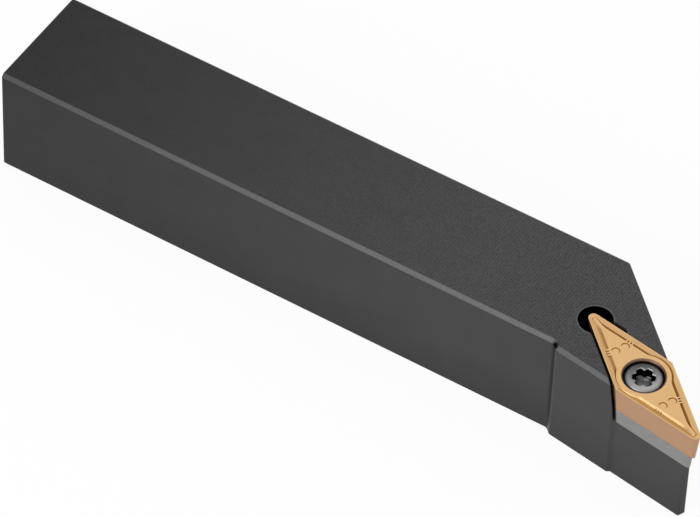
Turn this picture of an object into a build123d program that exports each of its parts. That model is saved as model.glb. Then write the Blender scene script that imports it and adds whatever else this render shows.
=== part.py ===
from build123d import *
from math import cos, radians, sin, sqrt, tan
import os

# Left-hand external turning tool holder with a 35 degree rhombic insert.
# Millimetres, +Z up. The origin is the centre of the straight shank's base.
# +X runs along the shank to the cutting nose, and -Y is the side on which the
# nose stands out from the shank.

# ---- shank and head -------------------------------------------------------
shank_width = 20.0
shank_height = 20.0
overall_length = 125.0        # rear face to the cutting nose
nose_overhang = 5.0           # cutting nose beyond the near side of the shank
shank_chamfer = 0.6           # long edges of the shank and top of the head
base_chamfer = 0.45           # underside
edge_break = 0.2              # top of the front face, and around the rear face
shoulder_step = 0.9           # how far the head steps out from the shank
shoulder_hollow = 0.8         # concave radius of that step
shoulder_round = 0.7          # convex radius of that step
side_setback = 0.4            # head side behind the side cutting edge
relief_setback = 0.38         # side under the pocket, behind the head side
relief_lap = 0.4              # the step between those two sides starts inside the pocket
relief_ramp = 0.55            # length of that step
front_setback = 0.42          # front face behind the front cutting edge
nose_flat_setback = 2.2       # flat on the head's nose, behind the insert's nose
nose_flat_round = 0.3         # rounding of the flat's two upright edges

# ---- insert ---------------------------------------------------------------
inscribed_circle = 9.525
insert_thickness = 4.76
nose_angle = 35.0
nose_radius = 0.8
blunt_radius = 0.2            # the two blunt corners
flank_clearance = 5.0
edge_lean = 8.3               # side cutting edge to the shank's axis
seat_cone_angle = 60.0        # cone under the screw's head
rim_round = 0.15              # rounding of the hole's rim

# ---- chip breaker ---------------------------------------------------------
land_width = 0.12             # flat strip behind the cutting edge
groove_slope = 0.77           # width of the slope from the land to the floor
groove_depth = 0.2
groove_corner = 0.1           # corner radius of the groove's floor
floor_width = 0.1
island_wall = 0.26            # width of the wall up to the island
boss_margin = 0.66            # the island bulges round the hole to this near the edge
finger_width = 0.5            # tongue of the island towards each nose
finger_setback = 0.85         # its end behind the insert's nose
boss_blend = 2.0              # hollow radius where the bulge meets the island's side
finger_blend = 4.0            # hollow radius where the tongue meets it
rib_spacing = 0.5
rib_radius = 0.12
rib_length = 0.48
rib_count = 3                 # ribs in each of the four groups
rib_place = 5.6               # middle of a group, along the edge from its middle
dimple_size = 1.1             # round dimple in the island, behind each group
dimple_depth = 0.04
dimple_inset = 0.85           # its middle in from the island's side

# ---- pocket ---------------------------------------------------------------
seat_wall_gap = 0.05          # insert to the wall that it bears on
relief_wall_gap = 0.42        # insert to the other wall
relief_hole = 5.3             # diameter of the hole that clears the rear nose
relief_hole_inset = 1.3       # its axis in from the insert's rear nose
relief_hole_depth = 1.0       # below the seat
relief_blend = 1.3            # rounding between the hole and the relief wall
channel_gap = 0.65            # slot in the bearing wall beside the rear nose
channel_radius = 0.75
channel_end = 7.1             # end of the slot, along the edge from its middle

# ---- shim and its sleeve --------------------------------------------------
shim_thickness = 3.1
shim_nose_radius = 0.67
shim_hole_play = 0.15         # sleeve's thread to the shim's hole, radial
sleeve_thread = 6.0           # outer thread, held in the head
sleeve_flange_rim = 0.6       # flange beyond the thread, radial
sleeve_flange_angle = 90.0
sleeve_recess = 0.1           # flange top below the shim's top
sleeve_depth = 7.0            # thread below the seat
socket_play = 0.25            # hexagon's flats outside the screw's thread, radial
socket_depth = 3.0

# ---- insert screw ---------------------------------------------------------
screw_thread = 3.5
screw_head = 5.74
head_bevel_width = 0.4        # bevel round the head's top
head_bevel_drop = 0.25
head_band = 0.2               # upright band between the bevel and the cone
screw_engagement = 4.05       # thread held in the sleeve
recess_across_lobes = 3.45
recess_across_flats = 2.72
recess_scallop = 0.3          # radius between two lobes
recess_lobe_round = 0.28
recess_lobes = 6
recess_turn = 22.0            # as tightened: a valley's angle from the insert's long diagonal
recess_depth = 1.7
recess_bevel = 0.18

# ---- clearances -----------------------------------------------------------
thread_fit = 0.05             # radial, with each thread a plain cylinder
cone_fit = 0.04               # between two cones, square to their surface
head_play = 0.43              # insert hole's mouth outside the screw's head, radial
screw_play = 0.45             # insert hole outside the screw's thread, radial
end_bevel = 0.35              # far ends of the screw and the sleeve
overrun = 1.0                 # how far a cut runs past the face that it opens

# ---- heights --------------------------------------------------------------
edge_height = shank_height
insert_base = edge_height - insert_thickness
seat_height = insert_base - shim_thickness

# ---- insert in plan -------------------------------------------------------
# Positions in plan are worked out from the insert's axis. The headings are
# those of the outward normals of its four edges. The side edge and the front
# edge meet at the working nose, and the seat edge and the relief edge face the
# pocket's two walls.
edge_distance = inscribed_circle / 2
half_nose = radians(nose_angle / 2)
diagonal_heading = -(edge_lean + nose_angle / 2)
side_heading = -90.0 - edge_lean
front_heading = side_heading + 180.0 - nose_angle
seat_heading = side_heading + 180.0
relief_heading = front_heading - 180.0
flank_slope = tan(radians(flank_clearance))
cone_slope = tan(radians(seat_cone_angle / 2))
flange_slope = tan(radians(sleeve_flange_angle / 2))

nose_reach = (edge_distance - nose_radius) / sin(half_nose)
nose_ahead = nose_radius + nose_reach * cos(radians(diagonal_heading))
nose_aside = nose_radius - nose_reach * sin(radians(diagonal_heading))

# ---- head in plan ---------------------------------------------------------
head_side = edge_distance - side_setback
relief_side = head_side - relief_setback
head_front = edge_distance - front_setback
near_side = nose_aside - nose_overhang
step_side = near_side + shoulder_step
far_side = shank_width - near_side
relief_wall = edge_distance + relief_wall_gap
ramp_start = relief_wall - relief_lap


def crossing(heading_a, distance_a, heading_b, distance_b):
    """Where two upright walls cross in plan, from the insert's axis.

    A wall is given by the heading of its outward normal in degrees, and by its
    distance from the insert's axis.
    """
    a = radians(heading_a)
    b = radians(heading_b)
    spread = sin(b - a)
    along = (distance_a * sin(b) - distance_b * sin(a)) / spread
    across = (distance_b * cos(a) - distance_a * cos(b)) / spread
    return Vector(along, across)


def nose_tip(distance, radius):
    """Reach of a rounded acute corner from the insert's axis."""
    return distance / sin(half_nose) - radius * (1 / sin(half_nose) - 1)


def flank_point(along, out):
    """Point by the insert's front edge, in the insert's plane.

    It lies along the edge from its middle towards the nose, and out from the
    insert's axis. The other three edges are its mirror images.
    """
    x = along * cos(half_nose) + out * sin(half_nose)
    y = out * cos(half_nose) - along * sin(half_nose)
    return Vector(x, y)


# The step out of the shank runs square to the relief wall's normal.
step_outer = crossing(side_heading, head_side, -90.0, step_side)
step_distance = step_outer.X * cos(radians(relief_heading)) + step_outer.Y * sin(radians(relief_heading))
step_inner = crossing(relief_heading, step_distance, -90.0, near_side)
nose_flat = nose_tip(edge_distance, nose_radius) - nose_flat_setback
flat_middle = Vector(nose_flat * cos(radians(diagonal_heading)), nose_flat * sin(radians(diagonal_heading)))

shank_length = overall_length - nose_ahead + step_inner.X
rear_x = -shank_length / 2
insert_axis = Vector(shank_length / 2 - step_inner.X, near_side - shank_width / 2)


def insert_plane(height):
    """Level plane on the insert's axis, with X along its long diagonal."""
    heading = radians(diagonal_heading)
    return Plane(
        (insert_axis.X, insert_axis.Y, height),
        x_dir=(cos(heading), sin(heading), 0),
        z_dir=(0, 0, 1),
    )


def axial_plane():
    """Upright plane through the insert's axis, for turned profiles."""
    return Plane((insert_axis.X, insert_axis.Y, 0), x_dir=(1, 0, 0), z_dir=(0, -1, 0))


axis_line = Axis((insert_axis.X, insert_axis.Y, 0), (0, 0, 1))


def rhombus(height, distance, nose, blunt):
    """Face of a rounded rhombus, its edges at a distance from the insert's axis."""
    along = distance / sin(half_nose)
    across = distance / cos(half_nose)
    with BuildSketch(insert_plane(height)) as outline:
        with BuildLine():
            Polyline((along, 0), (0, across), (-along, 0), (0, -across), close=True)
        make_face()
        noses = outline.vertices().sort_by(Axis.X)
        fillet([noses[0], noses[-1]], radius=nose)
        blunts = outline.vertices().sort_by(Axis.Y)
        fillet([blunts[0], blunts[-1]], radius=blunt)
    return outline.sketch


def tapered_rhombus(top, bottom, distance, nose):
    """Rhombus at two heights, drawn in by the flanks from the cutting edge down."""
    upper = distance - (edge_height - top) * flank_slope
    lower = distance - (edge_height - bottom) * flank_slope
    upper_nose = nose
    lower_nose = nose - (top - bottom) * flank_slope
    return [rhombus(top, upper, upper_nose, blunt_radius), rhombus(bottom, lower, lower_nose, blunt_radius)]


def island_outline(height, spread):
    """Outline of the chip breaker's island, spread by so much all round.

    The island is a rhombus with a round bulge about the hole and a tongue
    towards each nose, and hollow blends where they meet.
    """
    along = (island_edge + spread) / sin(half_nose)
    across = (island_edge + spread) / cos(half_nose)
    with BuildSketch(insert_plane(height)) as outline:
        with BuildLine():
            Polyline((along, 0), (0, across), (-along, 0), (0, -across), close=True)
        make_face()
        Circle(boss_radius + spread)
        SlotCenterToCenter(2 * finger_reach, finger_width + 2 * spread)
        corners = outline.vertices().sort_by(lambda v: abs(v.X))
        fillet(corners[4:8], radius=finger_blend - spread)
        corners = outline.vertices().sort_by(lambda v: abs(v.X))
        fillet(corners[:4], radius=boss_blend - spread)
    return outline.sketch


def rib(along, side_x, side_y):
    """Small round bar across the island's wall, beside one of the four edges."""
    inner = flank_point(along, island_edge)
    outward = flank_point(0, 1)
    level = insert_plane(edge_height - rib_radius)
    start = level.from_local_coords(Vector(side_x * inner.X, side_y * inner.Y))
    ahead = level.from_local_coords(Vector(side_x * (inner.X + outward.X), side_y * (inner.Y + outward.Y)))
    with BuildPart() as bar:
        with BuildSketch(Plane(start, z_dir=ahead - start)):
            Circle(rib_radius)
        extrude(amount=rib_length)
    return bar.part


def pocket_outline(height):
    """Outline of the pocket at a height; its walls lean with the insert's flanks.

    It ends inside the relief hole, and reaches past the head's open sides.
    """
    lean = (edge_height - height) * flank_slope
    seat_side = edge_distance + seat_wall_gap - lean
    relief = relief_wall - lean
    open_side = edge_distance + shank_width
    rear_heading = diagonal_heading + 180.0
    corners = [
        crossing(seat_heading, seat_side, rear_heading, hole_reach),
        crossing(rear_heading, hole_reach, relief_heading, relief),
        crossing(relief_heading, relief, side_heading, open_side),
        crossing(side_heading, open_side, front_heading, open_side),
        crossing(front_heading, open_side, seat_heading, seat_side),
    ]
    with BuildSketch(Plane.XY.offset(height)) as outline:
        with BuildLine():
            Polyline(*[corner + insert_axis for corner in corners], close=True)
        make_face()
    return outline.sketch


def blend_outline(height):
    """Wedge at a height, whose arc joins the relief hole to the relief wall."""
    hole_centre = -flank_point(hole_along, hole_out)
    wall_out = relief_wall - (edge_height - height) * flank_slope
    rise = wall_out + relief_blend - hole_out
    run = sqrt((relief_hole / 2 + relief_blend) ** 2 - rise**2)
    centre = -flank_point(hole_along - run, wall_out + relief_blend)
    on_wall = -flank_point(hole_along - run, wall_out)
    on_hole = hole_centre + (centre - hole_centre).normalized() * (relief_hole / 2)
    middle = centre + (on_wall + on_hole - centre * 2).normalized() * relief_blend
    with BuildSketch(insert_plane(height)) as outline:
        with BuildLine():
            Line(hole_centre, on_hole)
            ThreePointArc(on_hole, middle, on_wall)
            Line(on_wall, hole_centre)
        make_face()
    return outline.sketch


# ---- holder body ----------------------------------------------------------
hole_reach = nose_tip(edge_distance, nose_radius) - relief_hole_inset
hole_along = hole_reach * cos(half_nose)
hole_out = hole_reach * sin(half_nose)
front_run = Axis((0, 0, 0), (-sin(radians(front_heading)), cos(radians(front_heading)), 0))

with BuildPart() as holder_body:
    # Square bar with an offset head, in plan.
    head_plan = [
        step_inner,
        step_outer,
        crossing(relief_heading, ramp_start, side_heading, head_side),
        crossing(relief_heading, ramp_start - relief_ramp, side_heading, relief_side),
        crossing(side_heading, relief_side, diagonal_heading, nose_flat),
        crossing(diagonal_heading, nose_flat, front_heading, head_front),
        crossing(front_heading, head_front, 90.0, far_side),
    ]
    with BuildSketch():
        with BuildLine():
            Polyline(
                (rear_x, -shank_width / 2),
                *[corner + insert_axis for corner in head_plan],
                (rear_x, shank_width / 2),
                close=True,
            )
        make_face()
    extrude(amount=shank_height)

    # The shoulder sweeps out in an S to the side of the head.
    uprights = holder_body.edges().filter_by(Axis.Z)
    fillet(uprights.sort_by_distance(step_inner + insert_axis)[0], radius=shoulder_hollow)
    uprights = holder_body.edges().filter_by(Axis.Z)
    fillet(uprights.sort_by_distance(step_outer + insert_axis)[0], radius=shoulder_round)

    # The long edges are chamfered; the front face's top edge and the rear end
    # only have their sharpness taken off.
    top_rim = holder_body.faces().sort_by(Axis.Z)[-1].edges()
    top_rear = top_rim.sort_by(Axis.X)[:1]
    top_front = top_rim.filter_by(front_run).sort_by(SortBy.LENGTH)[-1:]
    chamfer(top_rim - top_rear - top_front, length=shank_chamfer)
    base_rim = holder_body.faces().sort_by(Axis.Z)[0].edges()
    chamfer(base_rim - base_rim.sort_by(Axis.X)[:1], length=base_chamfer)
    top_rim = holder_body.faces().sort_by(Axis.Z)[-1].edges()
    chamfer(top_rim.filter_by(front_run).sort_by(SortBy.LENGTH)[-1], length=edge_break)
    chamfer(holder_body.faces().sort_by(Axis.X)[0].edges(), length=edge_break)

    # Pocket for the shim and the insert, open to the side and to the front.
    loft(
        [pocket_outline(seat_height), pocket_outline(edge_height + overrun)],
        ruled=True,
        mode=Mode.SUBTRACT,
    )

    # A round hole clears the insert's rear nose, and a slot beside it clears
    # the seat edge next to that nose.
    with BuildSketch(insert_plane(seat_height - relief_hole_depth)):
        with Locations((-hole_reach, 0)):
            Circle(relief_hole / 2)
    extrude(amount=relief_hole_depth + edge_height - seat_height + overrun, mode=Mode.SUBTRACT)

    slot_line = edge_distance + channel_gap - channel_radius
    slot_start = flank_point(hole_along, slot_line)
    slot_end = flank_point(channel_end + channel_radius, slot_line)
    with BuildSketch(insert_plane(seat_height)):
        SlotCenterPoint(
            center=(-(slot_start.X + slot_end.X) / 2, (slot_start.Y + slot_end.Y) / 2),
            point=(-slot_end.X, slot_end.Y),
            height=2 * channel_radius,
        )
    extrude(amount=edge_height - seat_height + overrun, mode=Mode.SUBTRACT)

    # The corner between the hole and the relief wall is rounded off.
    loft(
        [blend_outline(seat_height), blend_outline(edge_height + overrun)],
        ruled=True,
        mode=Mode.SUBTRACT,
    )

    # Below the pocket, the flat on the nose has softened edges.
    uprights = holder_body.edges().filter_by(Axis.Z)
    fillet(uprights.sort_by_distance(flat_middle + insert_axis)[:2], radius=nose_flat_round)

    # Tapped hole for the shim's sleeve, right through the head.
    with BuildSketch(insert_plane(0)):
        Circle(sleeve_thread / 2 + thread_fit)
    extrude(amount=edge_height, mode=Mode.SUBTRACT)

# ---- shim -----------------------------------------------------------------
flange_radius = sleeve_thread / 2 + sleeve_flange_rim
flange_top = insert_base - sleeve_recess
flange_mouth = flange_radius + sleeve_recess * flange_slope + cone_fit / cos(radians(sleeve_flange_angle / 2))

with BuildPart() as shim:
    loft(tapered_rhombus(insert_base, seat_height, edge_distance, shim_nose_radius), ruled=True)
    with Locations(insert_plane(insert_base)):
        CounterSinkHole(
            radius=sleeve_thread / 2 + shim_hole_play,
            counter_sink_radius=flange_mouth,
            counter_sink_angle=sleeve_flange_angle,
        )

# ---- sleeve that holds the shim -------------------------------------------
sleeve_end = seat_height - sleeve_depth
socket_floor = flange_top - socket_depth

with BuildPart() as shim_screw:
    with BuildSketch(axial_plane()):
        with BuildLine():
            Polyline(
                (0, sleeve_end),
                (sleeve_thread / 2 - end_bevel, sleeve_end),
                (sleeve_thread / 2, sleeve_end + end_bevel),
                (sleeve_thread / 2, flange_top - sleeve_flange_rim / flange_slope),
                (flange_radius, flange_top),
                (0, flange_top),
                close=True,
            )
        make_face()
    revolve(axis=axis_line)
    with BuildSketch(insert_plane(socket_floor)):
        RegularPolygon(screw_thread / 2 + socket_play, 6, major_radius=False)
    extrude(amount=socket_depth, mode=Mode.SUBTRACT)
    with BuildSketch(insert_plane(sleeve_end)):
        Circle(screw_thread / 2 + thread_fit)
    extrude(amount=socket_floor - sleeve_end, mode=Mode.SUBTRACT)

# ---- insert ---------------------------------------------------------------
groove_floor = edge_height - groove_depth
slope_foot = land_width + groove_slope
island_edge = edge_distance - slope_foot - floor_width - island_wall
boss_radius = edge_distance - boss_margin
finger_reach = nose_tip(edge_distance, nose_radius) - finger_setback - finger_width / 2
mouth_radius = screw_head / 2 + head_play

with BuildPart() as insert:
    loft(tapered_rhombus(edge_height, insert_base, edge_distance, nose_radius), ruled=True)

    # Chip breaker: a groove all round, then the island that rises out of it.
    groove = [
        rhombus(edge_height, edge_distance - land_width, nose_radius - land_width, blunt_radius),
        rhombus(groove_floor, edge_distance - slope_foot, groove_corner, blunt_radius),
    ]
    loft(groove, ruled=True, mode=Mode.SUBTRACT)
    loft([island_outline(edge_height, 0), island_outline(groove_floor, island_wall)], ruled=True)

    # Small ribs across the island's wall, a group beside each end of each edge.
    for side_x in (1, -1):
        for side_y in (1, -1):
            for index in range(rib_count):
                along = rib_place + (index - (rib_count - 1) / 2) * rib_spacing
                add(rib(along, side_x, side_y))

    # Shallow round dimples in the island, one behind each group.
    dimple = flank_point(rib_place, island_edge - dimple_inset)
    with BuildSketch(insert_plane(edge_height - dimple_depth)):
        for side_x in (1, -1):
            for side_y in (1, -1):
                with Locations((side_x * dimple.X, side_y * dimple.Y)):
                    Circle(dimple_size / 2)
    extrude(amount=dimple_depth, mode=Mode.SUBTRACT)

    # Countersunk hole for the screw.
    with Locations(insert_plane(edge_height)):
        CounterSinkHole(
            radius=screw_thread / 2 + screw_play,
            counter_sink_radius=mouth_radius,
            counter_sink_angle=seat_cone_angle,
        )
    rim = insert.edges().filter_by(GeomType.CIRCLE).group_by(Axis.Z)[-1].sort_by(SortBy.RADIUS)
    fillet([e for e in rim if abs(e.radius - mouth_radius) < rim_round], radius=rim_round)

# ---- insert screw ---------------------------------------------------------
head_radius = screw_head / 2
head_rim = edge_height - head_play / cone_slope + cone_fit / sin(radians(seat_cone_angle / 2))
head_top = head_rim + head_band + head_bevel_drop
head_foot = head_rim - (head_radius - screw_thread / 2) / cone_slope
screw_end = socket_floor - screw_engagement

with BuildPart() as insert_screw:
    with BuildSketch(axial_plane()):
        with BuildLine():
            Polyline(
                (0, screw_end),
                (screw_thread / 2 - end_bevel, screw_end),
                (screw_thread / 2, screw_end + end_bevel),
                (screw_thread / 2, head_foot),
                (head_radius, head_rim),
                (head_radius, head_rim + head_band),
                (head_radius - head_bevel_width, head_top),
                (0, head_top),
                close=True,
            )
        make_face()
    revolve(axis=axis_line)

    # Six-lobe recess: a disc bitten into by a round scallop between lobes.
    scallop_place = recess_across_flats / 2 + recess_scallop
    with BuildSketch(insert_plane(head_top - recess_depth)) as recess:
        Circle(recess_across_lobes / 2)
        with PolarLocations(scallop_place, recess_lobes, start_angle=recess_turn):
            Circle(recess_scallop, mode=Mode.SUBTRACT)
        fillet(recess.vertices(), radius=recess_lobe_round)
    extrude(amount=recess_depth, mode=Mode.SUBTRACT)
    mouth = insert_screw.faces().sort_by(Axis.Z)[-1].inner_wires().edges()
    chamfer(mouth, length=recess_bevel)


# ---- export ---------------------------------------------------------------
os.makedirs("parts", exist_ok=True)
holder_body.part.label = "holder_body"
export_step(holder_body.part, "parts/holder_body.step")
shim.part.label = "shim"
export_step(shim.part, "parts/shim.step")
shim_screw.part.label = "shim_screw"
export_step(shim_screw.part, "parts/shim_screw.step")
insert.part.label = "insert"
export_step(insert.part, "parts/insert.step")
insert_screw.part.label = "insert_screw"
export_step(insert_screw.part, "parts/insert_screw.step")
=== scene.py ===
"""Looks of a left-hand turning tool holder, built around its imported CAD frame.

The square steel holder, its carbide shim and the pressed insert keep their CAD
meshes and get their finishes here. The two screws are modelled again with their
threads cut, and the tapped hole gets its thread. Lengths are in metres unless a
name ends in mm.
"""

import logging
import math
from dataclasses import dataclass
from enum import Enum
from typing import Any

import bmesh
import bpy
from mathutils import Matrix, Vector


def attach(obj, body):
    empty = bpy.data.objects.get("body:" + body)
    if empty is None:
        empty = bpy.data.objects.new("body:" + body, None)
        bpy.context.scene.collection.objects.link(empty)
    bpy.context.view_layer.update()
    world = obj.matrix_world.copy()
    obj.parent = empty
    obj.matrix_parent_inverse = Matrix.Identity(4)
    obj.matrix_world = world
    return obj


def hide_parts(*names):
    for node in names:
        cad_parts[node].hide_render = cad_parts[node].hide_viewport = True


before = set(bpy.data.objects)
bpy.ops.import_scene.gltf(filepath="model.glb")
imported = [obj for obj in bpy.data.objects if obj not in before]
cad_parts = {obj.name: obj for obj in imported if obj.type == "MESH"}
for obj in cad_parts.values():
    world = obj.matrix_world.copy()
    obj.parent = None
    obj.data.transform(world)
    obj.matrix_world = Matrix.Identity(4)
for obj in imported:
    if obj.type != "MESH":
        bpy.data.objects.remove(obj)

LOG = logging.getLogger("turning_tool")
MM = 0.001
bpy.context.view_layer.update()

Node = bpy.types.Node
Socket = bpy.types.NodeSocket
Wire = Node | Socket
Shape = bmesh.types.BMesh
Ring = list[bmesh.types.BMEdge]
# Where something sets in and where it is full, or what it goes from and to.
Span = tuple[float, float]

# The insert's axis in plan, on which both screws stand.
AXIS = Vector((63.4095, -8.46482, 0.0)) * MM
UP = Vector((0.0, 0.0, 1.0))
SHARP_ANGLE = math.radians(32)
WELD_MM = 0.001

# Scale that flattens coordinates into plan.
PLAN = Vector((1.0, 1.0, 0.0))
RINGS = {"wave_type": "RINGS", "rings_direction": "Z"}
# A Wave texture of scale one draws its lines this far apart.
WAVE_SPACING = math.tau / 20
GRAIN_DETAIL = 2.5
GRAIN_ROUGHNESS = 0.6
GRAIN_MIDDLE = 0.5


class Body(Enum):
    """CAD bodies that a piece can ride on."""

    TOOL = "tool"
    CLAMP_SCREW = "clamp_screw"


class Slot(Enum):
    """Material slots of the record."""

    HOLDER_STEEL = "holder_steel"
    SLEEVE_STEEL = "sleeve_steel"
    SCREW_STEEL = "screw_steel"


# ---- colours and nodes ----------------------------------------------------


def linear(hex_colour: str) -> tuple[float, float, float, float]:
    """Turns an sRGB hex colour into the linear colour that Blender works in.

    Args:
        hex_colour: six hex digits with a leading hash.

    Returns:
        Red, green, blue and an alpha of one.
    """
    channels = [int(hex_colour[i:i + 2], 16) / 255 for i in (1, 3, 5)]
    toned = [c / 12.92 if c <= 0.04045 else ((c + 0.055) / 1.055) ** 2.4 for c in channels]
    return (toned[0], toned[1], toned[2], 1.0)


def line_scale(spacing_mm: float) -> float:
    """Wave texture scale that puts its lines a spacing in millimetres apart."""
    return WAVE_SPACING / (spacing_mm * MM)


def between(ends: Span, unit: float = MM, to: Span = (0.0, 1.0)) -> dict[str, float]:
    """Inputs that make a Map Range node set in at one value and be full at another.

    Args:
        ends: the two values.
        unit: what they are counted in.
        to: what the node gives at them.

    Returns:
        The inputs, by name.
    """
    return {"From Min": ends[0] * unit, "From Max": ends[1] * unit,
            "To Min": to[0], "To Max": to[1]}


@dataclass(frozen=True)
class Canvas:
    """Node tree of a material or a world while its nodes are wired."""

    tree: bpy.types.NodeTree

    @classmethod
    def of(cls, block: bpy.types.Material | bpy.types.World) -> "Canvas":
        """Starts on an empty tree.

        Args:
            block: the material or world, which loses the nodes that it has.

        Returns:
            The canvas of its tree.
        """
        block.use_nodes = True
        block.node_tree.nodes.clear()
        return cls(block.node_tree)

    def add(self, kind: str, settings: dict[str, Any] | None = None,
            inputs: dict[str | int, Any] | None = None) -> Node:
        """Adds one shader node.

        Args:
            kind: the node's class name, without its ShaderNode prefix.
            settings: properties of the node itself.
            inputs: what each input takes, by name or number, as feed describes it.

        Returns:
            The new node.
        """
        node = self.tree.nodes.new("ShaderNode" + kind)
        for name, value in (settings or {}).items():
            setattr(node, name, value)
        for name, value in (inputs or {}).items():
            self.feed(node, name, value)
        return node

    def feed(self, node: Node, name: str | int, value: Any) -> None:
        """Links or sets one input of a node.

        Args:
            node: the node that takes it.
            name: the input, by name or number.
            value: an output socket, a node that stands for its first live output,
                a hex colour or a plain value.
        """
        if isinstance(value, Node):
            value = next(socket for socket in value.outputs if socket.enabled)
        if isinstance(value, Socket):
            self.tree.links.new(value, node.inputs[name])
        else:
            node.inputs[name].default_value = linear(value) if isinstance(value, str) else value

    def place(self) -> Socket:
        """Object coordinates of the shaded point, in metres."""
        return self.add("TexCoord").outputs["Object"]

    def normal(self) -> Socket:
        """Direction that the shaded point faces."""
        return self.add("NewGeometry").outputs["Normal"]

    def grain(self, place: Wire, size_mm: float, spread: float = 0.2) -> Node:
        """Makes a cloudy pattern between zero and one, with grains of a real size.

        Args:
            place: coordinates in metres, stretched where the grain is.
            size_mm: size of a grain.
            spread: how far from its middle the noise reaches zero and one.

        Returns:
            The node that gives the pattern.
        """
        cloud = self.add("TexNoise", inputs={
            "Vector": place, "Scale": 1 / (size_mm * MM), "Detail": GRAIN_DETAIL,
            "Roughness": GRAIN_ROUGHNESS})
        return self.add("MapRange", inputs={
            "Value": cloud, **between((GRAIN_MIDDLE - spread, GRAIN_MIDDLE + spread), 1.0)})

    def coat(self, colour: Any, *coats: tuple[Wire, Any]) -> Any:
        """Lays coats of colour over a first colour.

        Args:
            colour: the first colour, as feed takes it.
            coats: share and colour of each coat, in the order that they are laid.

        Returns:
            The node that gives the finished colour.
        """
        # A Mix node takes its two colours in inputs 6 and 7.
        for share, over in coats:
            colour = self.add("Mix", {"data_type": "RGBA"}, {0: share, 6: colour, 7: over})
        return colour

    def off_line(self, line: Vector) -> Node:
        """Measures the distance from an upright line.

        Args:
            line: a point of the line, at no height.

        Returns:
            The node that gives the distance.
        """
        away = self.add("Mapping", inputs={
            "Vector": self.place(), "Location": -line, "Scale": PLAN})
        return self.add("VectorMath", {"operation": "LENGTH"}, {0: away})

    def band(self, distance: Wire, middle_mm: float, half_mm: Span, most: float = 1.0) -> Node:
        """Picks out a soft band that lies at one distance.

        Args:
            distance: the distance that is measured.
            middle_mm: where the band has its middle.
            half_mm: half widths at which it has faded out and at which it is full.
            most: share that a full band gives.

        Returns:
            The node that gives the band's share.
        """
        apart = self.add("Math", {"operation": "SUBTRACT"}, {0: distance, 1: middle_mm * MM})
        apart = self.add("Math", {"operation": "ABSOLUTE"}, {0: apart})
        return self.add("MapRange", inputs={
            "Value": apart, **between(half_mm, to=(0.0, most))})


# ---- meshes ---------------------------------------------------------------


def merged_copy(node: str) -> Shape:
    """Copies a CAD node's mesh with the corners of its loose triangles joined.

    Args:
        node: the CAD node's name.

    Returns:
        The joined copy.
    """
    shape = bmesh.new()
    shape.from_mesh(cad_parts[node].data)
    bmesh.ops.remove_doubles(shape, verts=shape.verts, dist=WELD_MM * MM)
    return shape


def open_ring(shape: Shape, least: float = 0.0, most: float = math.inf) -> Ring:
    """Finds the open edges whose distance from the axis lies between two radii.

    Args:
        shape: the mesh to search.
        least: the smaller radius.
        most: the larger radius.

    Returns:
        The edges, which form a ring about the axis.
    """
    found = []
    for edge in shape.edges:
        if edge.is_boundary:
            middle = (edge.verts[0].co + edge.verts[1].co) / 2 - AXIS
            if least < middle.xy.length < most:
                found.append(edge)
    return found


def draw_down(shape: Shape, ring: Ring, height_mm: float, radius_mm: float) -> Ring:
    """Extrudes an open ring about the axis to a new height and radius.

    Args:
        shape: the mesh that holds the ring.
        ring: the ring's edges.
        height_mm: where the new ring lies.
        radius_mm: radius of the new ring.

    Returns:
        The new ring's edges.
    """
    made = bmesh.ops.extrude_edge_only(shape, edges=ring)["geom"]
    for vert in (item for item in made if isinstance(item, bmesh.types.BMVert)):
        outward = (vert.co - AXIS).xy.normalized() * radius_mm * MM
        vert.co = Vector((AXIS.x + outward.x, AXIS.y + outward.y, height_mm * MM))
    return [item for item in made if isinstance(item, bmesh.types.BMEdge)]


def finished_piece(name: str, shape: Shape, material: bpy.types.Material, body: Body) -> bpy.types.Object:
    """Turns a bmesh into a smooth-shaded piece that rides on a body.

    Args:
        name: the piece's name.
        shape: its mesh, freed here.
        material: its finish.
        body: the CAD body that it moves with.

    Returns:
        The new object.
    """
    bmesh.ops.recalc_face_normals(shape, faces=shape.faces)
    mesh = bpy.data.meshes.new(name)
    shape.to_mesh(mesh)
    shape.free()
    mesh.shade_smooth()
    mesh.set_sharp_from_angle(angle=SHARP_ANGLE)
    mesh.materials.append(material)
    piece = bpy.data.objects.new(name, mesh)
    bpy.context.scene.collection.objects.link(piece)
    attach(piece, body.value)
    LOG.info("built %s with %d faces", name, len(mesh.polygons))
    return piece


def dress(node: str, material: bpy.types.Material) -> None:
    """Gives a CAD node its finish.

    Args:
        node: the CAD node's name.
        material: its finish.
    """
    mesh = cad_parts[node].data
    mesh.materials.clear()
    mesh.materials.append(material)
    LOG.info("dressed %s in %s", node, material.name)


# ---- finishes -------------------------------------------------------------


@dataclass(frozen=True)
class Finish:
    """A material made of nodes. Each kind of finish paints its own.

    Relief is the strength and the depth of the pattern that its bump is made from.
    """

    name: str
    roughness: float
    relief: float
    relief_mm: float

    def build(self) -> bpy.types.Material:
        """Builds the material.

        Returns:
            The new material.
        """
        material = bpy.data.materials.new(self.name)
        canvas = Canvas.of(material)
        shader = canvas.add("BsdfPrincipled", inputs={"Roughness": self.roughness})
        canvas.add("OutputMaterial", inputs={"Surface": shader})
        self.paint(canvas, shader)
        return material

    def paint(self, canvas: Canvas, shader: Node) -> None:
        """Wires the finish's pattern into its shader.

        Args:
            canvas: the material's nodes.
            shader: its Principled shader.
        """
        raise NotImplementedError

    def emboss(self, canvas: Canvas, shader: Node, height: Wire, **more: Wire) -> None:
        """Gives the shader a bump from a pattern.

        Args:
            canvas: the material's nodes.
            shader: its Principled shader.
            height: the pattern.
            more: other inputs of the Bump node.
        """
        bump = canvas.add("Bump", inputs={
            "Height": height, "Strength": self.relief, "Distance": self.relief_mm * MM, **more})
        canvas.feed(shader, "Normal", bump)


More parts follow.
